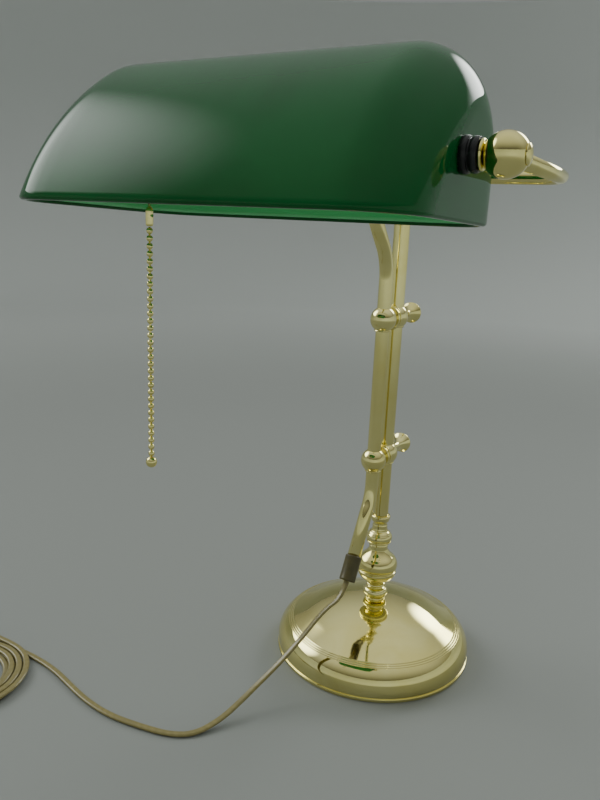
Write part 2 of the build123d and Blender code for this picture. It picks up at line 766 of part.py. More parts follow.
coil_start = Vector(coil_x, coil_y + coil_r, cord_z)
cord_tube([
    sleeve_end - foot_dir * cord_in,
    sleeve_end + foot_dir * 13,
    Vector(-11, -76, 67),
    Vector(-23.5, -91, 43.5),
    Vector(-32.5, -106, 28.5),
    Vector(-40, -121.5, 18),
    Vector(-46, -140, 9.5),
    Vector(-50.5, -158, 4.4),
    Vector(-59, -177.5, cord_z),
    Vector(-74, -187.5, cord_z),
    Vector(-97.5, -192, cord_z),
    Vector(-124, -195, cord_z),
    Vector(-150, -192, cord_z),
    Vector(-174, -185.5, cord_z),
    Vector(-199, -178, cord_z),
    Vector(-226, coil_start.Y, cord_z),
    coil_start,
], "cord_run")


def coil_point(turn):
    """Place on the coil after so many turns: in on the lower layer, up, and out on the upper one."""
    climb = 0.5
    total = 2 * coil_turns + climb
    wound = min(turn, coil_turns) - max(0.0, turn - coil_turns - climb)
    radius = coil_r - coil_pitch * wound
    share = min(1.0, max(0.0, (turn - coil_turns) / climb))
    height = cord_z + coil_pitch * (1 - math.cos(math.pi * share)) / 2
    ease = coil_pitch * 0.12 * math.sin(math.pi * share)
    angle = math.radians(90 + 360 * turn)
    assert 0 <= turn <= total + 1e-9
    reach = radius - ease
    return Vector(coil_x + reach * math.cos(angle), coil_y + reach * math.sin(angle), height)


def coil_tangent(turn):
    angle = math.radians(90 + 360 * turn)
    step = 1e-4
    climb_rate = 0.0
    if coil_turns < turn < coil_turns + 0.5:
        climb_rate = (coil_point(turn + step).Z - coil_point(turn - step).Z) / (2 * step)
    along = 2 * math.pi * (coil_r - coil_pitch * coil_turns / 2)
    return Vector(-math.sin(angle), math.cos(angle), climb_rate / along).normalized()


def biarc(start, start_dir, end, end_dir):
    """Middle point and direction of the two tangent arcs between two places."""
    span = end - start
    both = start_dir + end_dir
    slack = 2 * (1 - start_dir.dot(end_dir))
    lead = span.dot(both)
    reach = (math.sqrt(lead ** 2 + slack * span.dot(span)) - lead) / slack
    return (start + start_dir * reach + end - end_dir * reach) / 2


turns = 2 * coil_turns + 0.5
quarters = round(4 * turns)
stations = [turns * i / quarters for i in range(quarters + 1)]
with BuildPart() as cord_coil:
    with BuildLine() as winding:
        for first, second in zip(stations, stations[1:]):
            start, start_dir = coil_point(first), coil_tangent(first)
            end, end_dir = coil_point(second), coil_tangent(second)
            middle = biarc(start, start_dir, end, end_dir)
            lead_arc = TangentArc(start, middle, tangent=start_dir)
            TangentArc(middle, end, tangent=lead_arc % 1)
    with BuildSketch(Plane(origin=coil_start, z_dir=coil_tangent(0.0))):
        Circle(cord_d / 2)
    sweep(path=winding.wire())
save(cord_coil.part, "cord_coil")
coil_length = winding.wire().length
coil_spots = [winding.wire() @ (i / 1200) for i in range(1201)]
apart = round(1200 * 3.0 * coil_pitch / coil_length)
least = min(
    (a - b).length
    for i, a in enumerate(coil_spots)
    for b in coil_spots[i + apart:]
)
print("cord_coil length", round(coil_length, 1), "least gap", round(least - cord_d, 2))

coil_end = coil_point(turns)
plug_z = plug_t / 2 + cord_floor
plug_y = coil_y + coil_r - 8.0
cord_tube([
    coil_end,
    coil_end + Vector(-19, 0, 0),
    Vector(coil_x - 44, coil_end.Y + 1.5, cord_z + 1.5),
    Vector(coil_x - 64, coil_end.Y - 1.5, cord_z + 0.8),
    Vector(plug_x + 14, plug_y, plug_z),
    Vector(plug_x, plug_y, plug_z),
], "cord_tail")

with BuildPart() as plug_body:
    with BuildSketch(Plane(origin=(plug_x, plug_y, plug_z), x_dir=(0, 1, 0), z_dir=(-1, 0, 0))):
        RectangleRounded(plug_t, plug_t, 4)
    with BuildSketch(Plane(origin=(plug_x - plug_l, plug_y, plug_z), x_dir=(0, 1, 0), z_dir=(-1, 0, 0))):
        RectangleRounded(plug_w, plug_t, 4)
    loft()
save(plug_body.part, "plug_body")

with BuildPart() as plug_pins:
    with BuildSketch(Plane(origin=(plug_x - plug_l, plug_y, plug_z), x_dir=(0, 1, 0), z_dir=(-1, 0, 0))):
        with GridLocations(pin_span, 1, 2, 1):
            Circle(pin_d / 2)
    extrude(amount=pin_l)
    fillet(plug_pins.faces().sort_by(Axis.X)[:2].edges(), 1.2)
save(plug_pins.part, "plug_pins")
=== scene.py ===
import json
import math

import bmesh
import bpy
import numpy as np
from bpy.props import FloatProperty, FloatVectorProperty, PointerProperty
from mathutils import Matrix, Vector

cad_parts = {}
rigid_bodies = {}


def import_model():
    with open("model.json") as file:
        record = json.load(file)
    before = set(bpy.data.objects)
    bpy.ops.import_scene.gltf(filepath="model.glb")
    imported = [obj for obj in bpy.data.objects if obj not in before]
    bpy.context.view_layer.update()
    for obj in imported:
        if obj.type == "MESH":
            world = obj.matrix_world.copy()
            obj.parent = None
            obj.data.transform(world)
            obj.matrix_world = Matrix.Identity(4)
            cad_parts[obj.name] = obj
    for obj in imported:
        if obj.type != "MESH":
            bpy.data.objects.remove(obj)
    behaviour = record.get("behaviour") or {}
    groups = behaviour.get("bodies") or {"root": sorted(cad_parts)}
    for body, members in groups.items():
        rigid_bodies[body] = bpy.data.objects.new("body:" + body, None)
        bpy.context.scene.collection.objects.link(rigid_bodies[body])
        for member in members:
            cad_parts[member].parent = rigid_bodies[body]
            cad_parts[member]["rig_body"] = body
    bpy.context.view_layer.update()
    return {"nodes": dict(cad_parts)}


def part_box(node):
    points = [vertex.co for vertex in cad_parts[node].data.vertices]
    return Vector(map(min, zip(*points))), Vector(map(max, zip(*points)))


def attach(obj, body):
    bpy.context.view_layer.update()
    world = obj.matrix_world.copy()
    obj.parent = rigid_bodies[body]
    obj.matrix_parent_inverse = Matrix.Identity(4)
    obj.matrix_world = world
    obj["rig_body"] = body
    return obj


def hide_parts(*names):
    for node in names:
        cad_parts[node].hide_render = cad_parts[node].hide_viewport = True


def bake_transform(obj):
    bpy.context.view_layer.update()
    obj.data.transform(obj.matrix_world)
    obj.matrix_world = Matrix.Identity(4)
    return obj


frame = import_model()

bl_info = {
    "name": "Desk lamp with glass shade",
    "version": (1, 0, 0),
    "blender": (4, 5, 0),
    "location": "3D View > Sidebar > Desk lamp",
    "description": "Dresses the packed desk lamp in brass, green cased glass and gold flex",
    "category": "Object",
}

MM = 0.001
TURN = 2 * math.pi
UP = (0, 0, 1)
SIDES = ((1, "right"), (-1, "left"))

# Sizes that several pieces share, in millimetres
BALL_R = 10.0           # clamp, hub and pivot balls
ARM_R = 5.3
YOKE_R = 4.0
PIN_R = 3.5             # pivot stud and nipple
ROD_BORE = 4.1          # foot and column, round the tie rod
BUSH_R = 5.5            # neck of a pivot bush, and the hole for it in the glass
HOLDER_R = 19.5
REST_TILT = -3.8        # degrees that the shade leans by at rest

# Distances in metres under which two points are one, and an edge is none
SAME_PLACE, NO_LENGTH = 2e-6, 1e-8

# The photograph's camera: place in metres, focal length in millimetres, the rest in degrees
CAMERA_PLACE = (0.21016, -0.53283, 0.36096)
CAMERA_LENS = 32.4
CAMERA_YAW, CAMERA_PITCH, CAMERA_ROLL = -28.789, 14.012, 2.4706

# Paper sweep, in millimetres: flat floor, quarter-round turn of this rise, upright wall
FLOOR_R, SWEEP_R, SWEEP_RISE, WALL_TOP = 2400, 1000.0, 293.0, 1430
# Painted light: between these distances the paper's colour turns from the floor's to the lighter
# wall's, to make up for the light the wall misses
PAINTED_LIGHT_FROM, PAINTED_LIGHT_TO = 0.8, 3.1    # metres from the lamp

# Soft patches of light: heading and height of the middle, reach of the core and of the fade, all in
# degrees, and the setting that holds the brightness
LIGHT_PATCHES = (
    (78, 25, 4, 17, "right_light"),
    (186, 30, 6, 27, "left_light"),
    (-68, 25, 20, 75, "front_shade"),
    (0, 90, 12, 74, "overhead"),
)


def span(node):
    """Lowest corner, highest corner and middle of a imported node, in millimetres."""
    low, high = (np.array(corner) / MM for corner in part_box(node))
    return low, high, (low + high) / 2


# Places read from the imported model, in millimetres
PIVOT = span("pivot_ball_left")[2] * np.array((0, 1, 1))
BALL_OUT = span("pivot_ball_right")[2][0]
HUB = span("yoke_hub")[2]
POST_LOW, POST_HIGH, _ = span("post_tube")
ARM_Y = span("clamp_ball_upper")[0][1] + BALL_R
CLAMP_Z = {level: span(f"thumb_screw_{level}")[2][2] for level in ("lower", "upper")}
CHAIN = span("chain_ball")[2]


# Settings that a user would change

def colour(name, description, default):
    return FloatVectorProperty(
        name=name, description=description, default=default, size=3, min=0.0, max=1.0,
        subtype="COLOR",
    )


def length(name, description, default):
    return FloatProperty(
        name=name, description=description, default=default * MM, min=0.0, unit="LENGTH",
        precision=4,
    )


def brightness(name, description, default, **limit):
    return FloatProperty(name=name, description=description, default=default, **limit)


class LampFinishes(bpy.types.PropertyGroup):
    """Colours of the lamp's finishes."""
    brass: colour("Brass", "Polished brass where it is clean", (0.84, 0.77, 0.34))
    brass_aged: colour("Aged brass", "Brass where the lacquer has yellowed", (0.78, 0.69, 0.25))
    glass_outside: colour("Glass outside", "Green layer of the cased glass", (0.004, 0.100, 0.022))
    glass_depth: colour("Glass depth", "Green layer where it is thicker", (0.002, 0.070, 0.014))
    # Partly painted light: the pale inner layer's colour is raised to paint in the light that comes
    # through the green glass
    glass_inside: colour("Glass inside", "Pale layer inside the shade", (0.15, 0.72, 0.28))
    flex: colour("Flex", "Gold plastic of the cord", (0.26, 0.215, 0.064))
    flex_core: colour("Flex core", "Wires that show through the cord", (0.22, 0.18, 0.050))
    sleeve: colour("Sleeve", "Rubber sleeve at the cord exit", (0.095, 0.078, 0.022))
    plastic: colour("Black plastic", "Bushes, switch block and plug", (0.012, 0.012, 0.013))
    felt: colour("Felt", "Disc under the foot", (0.02, 0.035, 0.025))


class LampSizes(bpy.types.PropertyGroup):
    """Sizes of the visible skin."""
    edge_ease: length("Edge ease", "Rounding of the turned brass edges", 0.28)
    shade_wall: length("Glass wall", "Thickness of the cased glass", 4.0)
    shade_end: length("End rounding", "Radius of the rounded ends of the shade", 31.0)
    shade_lip: length("Rim lip", "Depth of the fire-polished rim", 1.8)
    flex_width: length("Flex width", "Across both cores of the flat cord", 4.8)
    flex_thick: length("Flex thickness", "Through one core of the flat cord", 2.7)
    bead: length("Chain bead", "Diameter of a bead of the pull chain", 3.45)


class LampStage(bpy.types.PropertyGroup):
    """Floor and light. Each brightness but the first is added to the air's in its own direction."""
    floor: colour("Floor", "Plain studio floor", (0.262, 0.275, 0.26))
    # Painted light: the upright paper is painted lighter than the floor to make up for the light it
    # misses
    wall: colour("Wall", "The same paper where it stands upright", (0.60, 0.625, 0.605))
    air: brightness("Air", "Brightness all round", 0.24, min=0.0)
    right_light: brightness("Right light", "Brightness of the right soft light", 8.5, min=0.0)
    left_light: brightness("Left light", "Brightness of the left soft light", 5.0, min=0.0)
    front_shade: brightness("Front shade", "Brightness taken away in front", -0.14, max=0.0)
    overhead: brightness("Overhead", "Brightness added overhead", 0.52, min=0.0)


# Meshes worked out as whole arrays

def grid_faces(rows, columns, wrap_rows=False, wrap_columns=False, first=0):
    """Quads of a grid of points: each joins a point to the next along its row and its column."""
    i = np.arange(rows if wrap_rows else rows - 1)[:, None]
    j = np.arange(columns if wrap_columns else columns - 1)[None, :]
    next_i = (i + 1) % rows
    next_j = (j + 1) % columns
    here, beyond = i * columns, next_i * columns
    corners = (here + j, here + next_j, beyond + next_j, beyond + j)
    return first + np.stack(np.broadcast_arrays(*corners), -1).reshape(-1, 4)


def outline(corners, closed, ease):
    """Half outline of a turned piece through (radius, height) corners.

    A third number is the sagitta of the arc that leads to the corner, to the right of its way.
    Every corner sharper than 20 degrees is replaced by a short curve that starts the ease before
    it, with a point on each side of the curve that keeps the long faces flat.
    """
    sharp, arc_step, most_cut, guard_share = 20, 6, 0.3, 0.6
    line = [np.array(corners[0][:2], float)]
    for corner in corners[1:]:
        start, end = line[-1], np.array(corner[:2], float)
        if len(corner) == 3 and abs(corner[2]) > 1e-6:
            chord = np.linalg.norm(end - start)
            rise = corner[2]
            radius = (chord ** 2 / 4 + rise ** 2) / (2 * abs(rise))
            half = math.asin(min(1.0, chord / 2 / radius))
            if abs(rise) > chord / 2:
                half = math.pi - half
            steps = max(4, int(math.degrees(2 * half) / arc_step))
            angle = np.linspace(-half, half, steps + 1)[1:]
            along = (end - start) / chord
            right = np.array((along[1], -along[0]))
            reach = chord / 2 + radius * np.sin(angle)
            bulge = math.copysign(1, rise) * (radius * np.cos(angle) - radius * math.cos(half))
            line.extend(start + reach[:, None] * along + bulge[:, None] * right)
        else:
            line.append(end)
    points = np.array(line)
    if closed and np.linalg.norm(points[0] - points[-1]) < 1e-6:
        points = points[:-1]
    before = points - np.roll(points, 1, 0)
    after = np.roll(points, -1, 0) - points
    lead = np.linalg.norm(before, axis=1)
    trail = np.linalg.norm(after, axis=1)
    cosine = (before * after).sum(1) / np.maximum(lead * trail, 1e-9)
    turn = np.degrees(np.arccos(np.clip(cosine, -1, 1)))
    if not closed:
        turn[[0, -1]] = 0
    eased = []
    bend = np.linspace(0, 1, 5)[:, None]
    for k, point in enumerate(points):
        if turn[k] < sharp:
            eased.append(point[None])
            continue
        cut = min(ease, most_cut * lead[k], most_cut * trail[k])
        back, on = before[k] / lead[k], after[k] / trail[k]
        come, leave = point - back * cut, point + on * cut
        curve = (1 - bend) ** 2 * come + 2 * bend * (1 - bend) * point + bend ** 2 * leave
        guard = guard_share * cut
        eased.append(np.vstack((come - back * guard, curve, leave + on * guard)))
    return np.vstack(eased)


def across(axis):
    """Two directions square to an axis, right-handed with it."""
    axis = np.array(axis, float) / np.linalg.norm(axis)
    side = np.array((0, 0, 1.0)) if abs(axis[2]) < 0.9 else np.array((1.0, 0, 0))
    side = side - axis * (side @ axis)
    side /= np.linalg.norm(side)
    return axis, side, np.cross(axis, side)


def lathe(profile, origin, axis, segments, wrap):
    """Points and quads of a turned surface: origin + height along the axis + radius round it."""
    axis, side, over = across(axis)
    angle = np.linspace(0, TURN, segments, endpoint=False)
    spoke = np.cos(angle)[:, None] * side + np.sin(angle)[:, None] * over
    points = np.array(origin, float) + profile[:, None, 1:2] * axis + profile[:, None, :1] * spoke
    return points.reshape(-1, 3), grid_faces(len(profile), segments, wrap, True)


def sweep(path, section, reference):
    """Points and quads of a skin carried along a path.

    At each place the section's two numbers go along side = way x reference and up = side x way.
    """
    way = np.gradient(path, axis=0)
    way /= np.linalg.norm(way, axis=1)[:, None]
    side = np.cross(way, reference)
    side /= np.linalg.norm(side, axis=1)[:, None]
    up = np.cross(side, way)
    aside, above = section[None, :, :1] * side[:, None], section[None, :, 1:] * up[:, None]
    points = path[:, None] + aside + above
    return points.reshape(-1, 3), grid_faces(len(path), len(section), False, True)


def ring(radius, segments):
    """Round section of a tube."""
    angle = np.linspace(0, TURN, segments, endpoint=False)
    return radius * np.stack((np.cos(angle), np.sin(angle)), 1)


def tube_line(corners, bend, steps=14):
    """Middle line of a bent metal tube: straight to each bend, round it on an arc, and on."""
    corners = np.array(corners, float)
    line = [corners[:1]]
    for before, here, after in zip(corners, corners[1:], corners[2:]):
        come = (here - before) / np.linalg.norm(here - before)
        leave = (after - here) / np.linalg.norm(after - here)
        half = math.acos(np.clip(come @ leave, -1, 1)) / 2
        inward = (leave - come) / np.linalg.norm(leave - come)
        middle = here + inward * bend / math.cos(half)
        angle = np.linspace(-half, half, steps)[:, None]
        along = (come + leave) / np.linalg.norm(come + leave)
        line.append(middle + bend * (np.sin(angle) * along - np.cos(angle) * inward))
    line.append(corners[-1:])
    return np.vstack(line)


def make(name, patches, body, replaced, finishes, material_index=None, uv=None):
    """One closed smooth piece from patches of points (mm) and quads: doubles merged, faces outward.

    It rides on the body and stands for the replaced nodes.
    """
    points = np.vstack([points for points, _ in patches]) * MM
    starts = np.cumsum([0] + [len(points) for points, _ in patches[:-1]])
    quads = np.vstack([faces + start for (_, faces), start in zip(patches, starts)])
    mesh = bpy.data.meshes.new(name)
    mesh.from_pydata(points.tolist(), [], quads.tolist())
    for finish in finishes:
        mesh.materials.append(finish)
    if material_index is not None:
        mesh.polygons.foreach_set("material_index", np.ascontiguousarray(material_index, np.int32))
    if uv is not None:
        layer = mesh.uv_layers.new(name="along")
        layer.data.foreach_set("uv", np.ascontiguousarray(uv, np.float32).ravel())
    work = bmesh.new()
    work.from_mesh(mesh)
    bmesh.ops.remove_doubles(work, verts=work.verts, dist=SAME_PLACE)
    bmesh.ops.dissolve_degenerate(work, edges=work.edges, dist=NO_LENGTH)
    holes = [edge for edge in work.edges if edge.is_boundary]
    if holes:
        bmesh.ops.holes_fill(work, edges=holes, sides=0)
    bmesh.ops.recalc_face_normals(work, faces=work.faces)
    work.to_mesh(mesh)
    work.free()
    mesh.shade_smooth()
    piece = bpy.data.objects.new(name, mesh)
    bpy.context.scene.collection.objects.link(piece)
    if body:
        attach(piece, body)
    if replaced:
        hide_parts(*replaced)
    return piece


def turned(node, corners, origin, axis, finish, segments=96, closed=True):
    """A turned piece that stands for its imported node, on the same body."""
    ease = bpy.context.scene.desk_lamp_sizes.edge_ease / MM
    patch = lathe(outline(corners, closed, ease), origin, axis, segments, closed)
    body = frame["nodes"][node]["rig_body"]
    return make(f"{node}_skin", [patch], body, [node], [finish])


def ball_corners(radius, low, high):
    """Outline of a ball from one flat or bore to the other, given as heights on its axis."""
    start = math.sqrt(max(radius ** 2 - low ** 2, 0))
    end = math.sqrt(max(radius ** 2 - high ** 2, 0))
    chord = math.hypot(end - start, high - low)
    middle = math.sqrt(max(radius ** 2 - chord ** 2 / 4, 0))
    return (start, low), (end, high, radius - middle)


# Finishes

def node_group(name, inputs, outputs):
    """A shader node group with named sockets; gives it, its input node and its output node."""
    group = bpy.data.node_groups.new(name, "ShaderNodeTree")
    for socket, kind, value in inputs:
        made = group.interface.new_socket(socket, in_out="INPUT", socket_type=kind)
        made.default_value = value
    for socket, kind in outputs:
        group.interface.new_socket(socket, in_out="OUTPUT", socket_type=kind)
    return group, group.nodes.new("NodeGroupInput"), group.nodes.new("NodeGroupOutput")


def colour_mix(nodes):
    """A node that mixes colour A with colour B."""
    mix = nodes.new("ShaderNodeMix")
    mix.data_type = "RGBA"
    return mix


def handled_surface():
    """Noise at two scales: soft patches of two tones and two degrees of polish, and fine grain."""
    found = bpy.data.node_groups.get("handled_surface")
    if found:
        return found
    group, given, result = node_group(
        "handled_surface",
        [
            ("Patch Scale", "NodeSocketFloat", 30.0),
            ("Grain Scale", "NodeSocketFloat", 900.0),
            ("Clean", "NodeSocketColor", (0.8, 0.8, 0.8, 1)),
            ("Handled", "NodeSocketColor", (0.6, 0.6, 0.6, 1)),
            ("Polished", "NodeSocketFloat", 0.08),
            ("Dulled", "NodeSocketFloat", 0.2),
        ],
        [
            ("Color", "NodeSocketColor"),
            ("Roughness", "NodeSocketFloat"),
            ("Height", "NodeSocketFloat"),
        ],
    )
    nodes, links = group.nodes, group.links
    place = nodes.new("ShaderNodeTexCoord")
    patch = nodes.new("ShaderNodeTexNoise")
    patch.inputs["Detail"].default_value = 4.0
    patch.inputs["Distortion"].default_value = 0.6
    grain = nodes.new("ShaderNodeTexNoise")
    grain.inputs["Detail"].default_value = 2.0
    links.new(place.outputs["Object"], patch.inputs["Vector"])
    links.new(place.outputs["Object"], grain.inputs["Vector"])
    links.new(given.outputs["Patch Scale"], patch.inputs["Scale"])
    links.new(given.outputs["Grain Scale"], grain.inputs["Scale"])
    spread = nodes.new("ShaderNodeMapRange")
    spread.inputs["From Min"].default_value = 0.38
    spread.inputs["From Max"].default_value = 0.68
    links.new(patch.outputs["Fac"], spread.inputs["Value"])
    tone = colour_mix(nodes)
    links.new(spread.outputs["Result"], tone.inputs["Factor"])
    links.new(given.outputs["Clean"], tone.inputs["A"])
    links.new(given.outputs["Handled"], tone.inputs["B"])
    polish = nodes.new("ShaderNodeMapRange")
    links.new(spread.outputs["Result"], polish.inputs["Value"])
    links.new(given.outputs["Polished"], polish.inputs["To Min"])
    links.new(given.outputs["Dulled"], polish.inputs["To Max"])
    links.new(tone.outputs["Result"], result.inputs["Color"])
    links.new(polish.outputs["Result"], result.inputs["Roughness"])
    links.new(grain.outputs["Fac"], result.inputs["Height"])
    return group


def blank_material(name):
    """A new material; gives it, its nodes, its links and its shader."""
    made = bpy.data.materials.new(name)
    made.use_nodes = True
    tree = made.node_tree
    return made, tree.nodes, tree.links, tree.nodes["Principled BSDF"]


def worn(nodes, clean, handled, polished, dulled, patch, grain):
    """The handled surface, placed in a material with its own values."""
    wear = nodes.new("ShaderNodeGroup")
    wear.node_tree = handled_surface()
    for socket, value in (
        ("Patch Scale", patch), ("Grain Scale", grain), ("Clean", (*clean, 1)),
        ("Handled", (*handled, 1)), ("Polished", polished), ("Dulled", dulled),
    ):
        wear.inputs[socket].default_value = value
    return wear


def add_bump(nodes, links, height, shader, strength, depth):
    """Relief from a height, on the shader's normal."""
    relief = nodes.new("ShaderNodeBump")
    relief.inputs["Strength"].default_value = strength
    relief.inputs["Distance"].default_value = depth
    links.new(height, relief.inputs["Height"])
    links.new(relief.outputs["Normal"], shader.inputs["Normal"])


def finish(name, clean, handled, polished, dulled, patch, grain, bump, depth=0.0001, **sockets):
    """A material: the handled surface feeds colour, roughness and bump, the rest is plain."""
    found = bpy.data.materials.get(name)
    if found:
        return found
    made, nodes, links, shader = blank_material(name)
    for socket, value in sockets.items():
        shader.inputs[socket.replace("_", " ")].default_value = value
    wear = worn(nodes, clean, handled, polished, dulled, patch, grain)
    links.new(wear.outputs["Color"], shader.inputs["Base Color"])
    links.new(wear.outputs["Roughness"], shader.inputs["Roughness"])
    add_bump(nodes, links, wear.outputs["Height"], shader, bump, depth)
    return made


def tint(setting, share=1.0):
    """A colour of the settings, or a share of it."""
    return tuple(part * share for part in getattr(bpy.context.scene.desk_lamp_finishes, setting))


def polished_brass():
    return finish("polished_brass", tint("brass"), tint("brass_aged"), 0.03, 0.09,
                  patch=26, grain=1500, bump=0.03, Metallic=1.0)


def plain_brass():
    return finish("plain_brass", tint("brass", 0.85), tint("brass_aged", 0.8), 0.2, 0.34,
                  patch=60, grain=1200, bump=0.08, Metallic=1.0)


def black_plastic():
    return finish("moulded_black", tint("plastic"), tint("plastic", 1.8), 0.22, 0.36,
                  patch=90, grain=2600, bump=0.12, Specular_IOR_Level=0.3)


def bright_steel():
    return finish("bright_steel", (0.52, 0.52, 0.50), (0.42, 0.41, 0.39), 0.22, 0.36,
                  patch=70, grain=1600, bump=0.06, Metallic=1.0)


def cast_iron():
    return finish("cast_iron", (0.05, 0.05, 0.052), (0.085, 0.075, 0.065), 0.55, 0.75,
                  patch=45, grain=420, bump=0.5, depth=0.0004)


def green_felt():
    return finish("green_felt", tint("felt"), tint("felt", 1.5), 0.85, 0.95,
                  patch=220, grain=3200, bump=0.6, depth=0.0003,
                  Sheen_Weight=0.3, Sheen_Roughness=0.6)


def sleeve_rubber():
    return finish("rubber_skin", tint("sleeve"), tint("sleeve", 0.7), 0.32, 0.5,
                  patch=120, grain=1800, bump=0.2, depth=0.0002)


def green_glass():
    return finish("cased_green", tint("glass_outside"), tint("glass_depth"), 0.02, 0.035,
                  patch=9, grain=60, bump=0.02, depth=0.0004, IOR=1.52, Specular_IOR_Level=0.17)


# Inner layer of the shade: its own pale colour with painted light from the glass added in
def pale_glass():
    return finish("cased_pale", tint("glass_inside"), tint("glass_inside", 0.86), 0.06, 0.1,
                  patch=14, grain=80, bump=0.02, depth=0.0004, IOR=1.5)


def gold_flex():
    """Clear gold plastic over two twisted cores: bands that climb round the cord along it."""
    found = bpy.data.materials.get("gold_flex")
    if found:
        return found
    made, nodes, links, shader = blank_material("gold_flex")
    shader.inputs["IOR"].default_value = 1.5
    shader.inputs["Coat Weight"].default_value = 0.5
    shader.inputs["Coat Roughness"].default_value = 0.14
    place = nodes.new("ShaderNodeTexCoord")
    stretch = nodes.new("ShaderNodeMapping")
    stretch.inputs["Scale"].default_value = (2.0, 330.0, 1.0)
    twist = nodes.new("ShaderNodeTexWave")
    twist.bands_direction = "DIAGONAL"
    twist.inputs["Scale"].default_value = 0.32
    twist.inputs["Distortion"].default_value = 0.6
    links.new(place.outputs["UV"], stretch.inputs["Vector"])
    links.new(stretch.outputs["Vector"], twist.inputs["Vector"])
    wear = worn(nodes, tint("flex"), tint("flex", 0.8), 0.28, 0.42, patch=60, grain=900)
    core = colour_mix(nodes)
    core.inputs["B"].default_value = (*tint("flex_core"), 1)
    links.new(twist.outputs["Fac"], core.inputs["Factor"])
    links.new(wear.outputs["Color"], core.inputs["A"])
    links.new(core.outputs["Result"], shader.inputs["Base Color"])
    links.new(wear.outputs["Roughness"], shader.inputs["Roughness"])
    add_bump(nodes, links, twist.outputs["Fac"], shader, 0.04, 0.0002)
    return made


def plain_floor():
    """Paper sweep with painted light: painted lighter where it turns up, to make up for the light
    the upright wall gets less of, so that floor and wall look one tone.
    """
    tones = bpy.context.scene.desk_lamp_stage
    made, nodes, links, shader = blank_material("plain_floor")
    shader.inputs["Roughness"].default_value = 0.7
    place = nodes.new("ShaderNodeTexCoord")
    reach = nodes.new("ShaderNodeVectorMath")
    reach.operation = "LENGTH"
    links.new(place.outputs["Object"], reach.inputs[0])
    # Painted light: lighter paint further from the lamp, where the paper turns up
    rise = nodes.new("ShaderNodeMapRange")
    rise.interpolation_type = "SMOOTHSTEP"
    rise.inputs["From Min"].default_value = PAINTED_LIGHT_FROM
    rise.inputs["From Max"].default_value = PAINTED_LIGHT_TO
    links.new(reach.outputs["Value"], rise.inputs["Value"])
    tone = colour_mix(nodes)
    tone.inputs["A"].default_value = (*tones.floor, 1)
    tone.inputs["B"].default_value = (*tones.wall, 1)
    links.new(rise.outputs["Result"], tone.inputs["Factor"])
    links.new(tone.outputs["Result"], shader.inputs["Base Color"])
    return made


def dress_node(node, material):
    """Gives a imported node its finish."""
    piece = frame["nodes"][node]
    piece.data.materials.clear()
    piece.data.materials.append(material)


# Operators, one for each piece or group of like pieces

class LampOperator(bpy.types.Operator):
    """Shared base of the lamp's operators."""
    bl_idname = "desk_lamp.base_step"
    bl_label = "Lamp step"
    bl_options = {"UNDO"}


class DESK_LAMP_OT_stage(LampOperator):
    """Camera at the photograph's viewing angle, paper sweep with painted light where it turns up,
    and soft light all round
    """
    bl_idname = "desk_lamp.stage"
    bl_label = "Stage"

    def execute(self, context):
        self.add_camera(context.scene)
        self.add_floor(context.scene)
        self.add_light(context.scene)
        return {"FINISHED"}

    def add_camera(self, scene):
        lens = bpy.data.cameras.new("photo_view")
        lens.sensor_width = 36.0
        lens.lens = CAMERA_LENS
        lens.clip_start = 0.02
        camera = bpy.data.objects.new("photo_view", lens)
        yaw, pitch, roll = (math.radians(a) for a in (CAMERA_YAW, CAMERA_PITCH, CAMERA_ROLL))
        flat = math.cos(pitch)
        look = np.array((flat * math.sin(yaw), flat * math.cos(yaw), -math.sin(pitch)))
        right = np.array((math.cos(yaw), -math.sin(yaw), 0))
        up = np.cross(right, look)
        leaned_right = math.cos(roll) * right + math.sin(roll) * up
        leaned_up = math.cos(roll) * up - math.sin(roll) * right
        turn = Matrix(np.stack((leaned_right, leaned_up, -look), 1).tolist()).to_4x4()
        camera.matrix_world = Matrix.Translation(CAMERA_PLACE) @ turn
        scene.collection.objects.link(camera)
        scene.camera = camera

    def add_floor(self, scene):
        wall_r = FLOOR_R + SWEEP_R
        corners = [(0, 0), (FLOOR_R, 0), (wall_r, SWEEP_R, SWEEP_RISE), (wall_r, WALL_TOP)]
        points, faces = lathe(outline(corners, False, 1.0), (0, 0, 0), UP, 96, False)
        mesh = bpy.data.meshes.new("studio_floor")
        mesh.from_pydata((points * MM).tolist(), [], faces[:, ::-1].tolist())
        mesh.materials.append(plain_floor())
        mesh.shade_smooth()
        floor = bpy.data.objects.new("studio_floor", mesh)
        scene.collection.objects.link(floor)

    def add_light(self, scene):
        """World whose brightness is the air's, plus each soft patch in its own direction."""
        shine = scene.desk_lamp_stage
        world = bpy.data.worlds.new("studio_air")
        world.use_nodes = True
        nodes, links = world.node_tree.nodes, world.node_tree.links
        nodes["Background"].inputs["Color"].default_value = (0.96, 1.0, 0.97, 1)
        way = nodes.new("ShaderNodeTexCoord").outputs["Generated"]
        air = nodes.new("ShaderNodeValue")
        air.outputs["Value"].default_value = shine.air
        total = air.outputs["Value"]
        for heading, height, core, fade, setting in LIGHT_PATCHES:
            heading, height = math.radians(heading), math.radians(height)
            flat = math.cos(height)
            facing = nodes.new("ShaderNodeVectorMath")
            facing.operation = "DOT_PRODUCT"
            links.new(way, facing.inputs[0])
            facing.inputs[1].default_value = (
                flat * math.cos(heading), flat * math.sin(heading), math.sin(height),
            )
            patch = nodes.new("ShaderNodeMapRange")
            patch.interpolation_type = "SMOOTHSTEP"
            links.new(facing.outputs["Value"], patch.inputs["Value"])
            patch.inputs["From Min"].default_value = math.cos(math.radians(fade))
            patch.inputs["From Max"].default_value = math.cos(math.radians(core))
            light = nodes.new("ShaderNodeMath")
            light.operation = "MULTIPLY_ADD"
            links.new(patch.outputs["Result"], light.inputs[0])
            light.inputs[1].default_value = getattr(shine, setting)
            links.new(total, light.inputs[2])
            total = light.outputs["Value"]
        links.new(total, nodes["Background"].inputs["Strength"])
        scene.world = world


